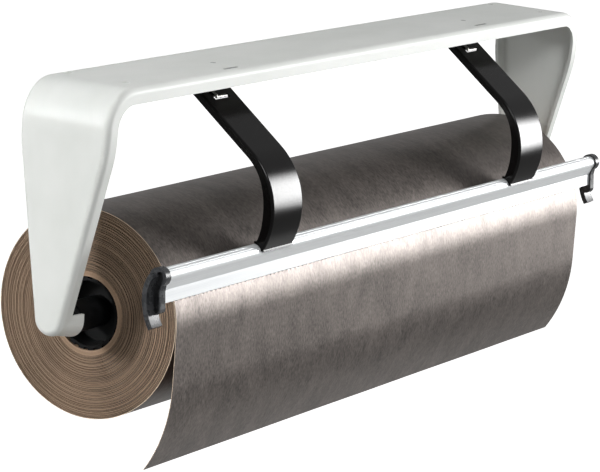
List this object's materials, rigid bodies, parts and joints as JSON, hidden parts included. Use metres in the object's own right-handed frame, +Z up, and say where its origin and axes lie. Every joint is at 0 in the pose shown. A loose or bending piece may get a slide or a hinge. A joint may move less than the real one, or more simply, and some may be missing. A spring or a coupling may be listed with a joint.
{
  "type": "under-counter gift wrap cutter",
  "caption": "Under-counter roll holder with a bent steel bracket, a wrap roll in cradle cups and a sprung serrated cutter rail on channel arms.",
  "frame": {"origin": "centre of the beam's top face, which lies against the underside of the counter", "axes": "+X along the roll from left to right as the customer's side sees it, +Y to the back, +Z up"},
  "size_m": [0.575, 0.1352, 0.2232],
  "materials": {
    "white_enamel": "satin light grey-white powder coat",
    "zinc_plate": "bright zinc plate",
    "spring_steel": "drawn spring wire",
    "black_enamel": "glossy black enamel",
    "anodised_rail": "pale satin anodised extrusion",
    "blade_steel": "stainless strip",
    "black_plastic": "moulded black",
    "cardboard": "wound board",
    "wrap_paper": "dark grey kraft wrap with a dull sheen"
  },
  "bodies": {
    "bracket": {"frame": "white_enamel", "hinge_bracket_left": "zinc_plate", "hinge_bracket_right": "zinc_plate", "hinge_rivets": "zinc_plate", "hinge_pin_left": "zinc_plate", "hinge_pin_right": "zinc_plate", "paper_tail": "wrap_paper"},
    "cutter": {"cutter_arm_left": "black_enamel", "cutter_arm_right": "black_enamel", "arm_spring_left": "spring_steel", "arm_spring_right": "spring_steel", "arm_screws": "zinc_plate", "cutter_rail": "anodised_rail", "tear_blade": "blade_steel", "rail_cap_left": "black_plastic", "rail_cap_right": "black_plastic"},
    "roll": {"core_plug_left": "black_plastic", "core_plug_right": "black_plastic", "cardboard_core": "cardboard", "paper_roll": "wrap_paper"}
  },
  "joints": [
    {"name": "cutter_swing", "type": "hinge", "parent": "bracket", "child": "cutter", "pos_m": [0, -0.0015, -0.0085], "axis": [-1, 0, 0], "range_deg": [0, 28], "stiffness_Nm_per_rad": 1, "springref_deg": -28.65, "deforming": ["arm_spring_left", "arm_spring_right"]},
    {"name": "roll_spin", "type": "hinge", "parent": "bracket", "child": "roll", "pos_m": [0, 0.0032, -0.1387], "axis": [1, 0, 0], "continuous": true}
  ]
}
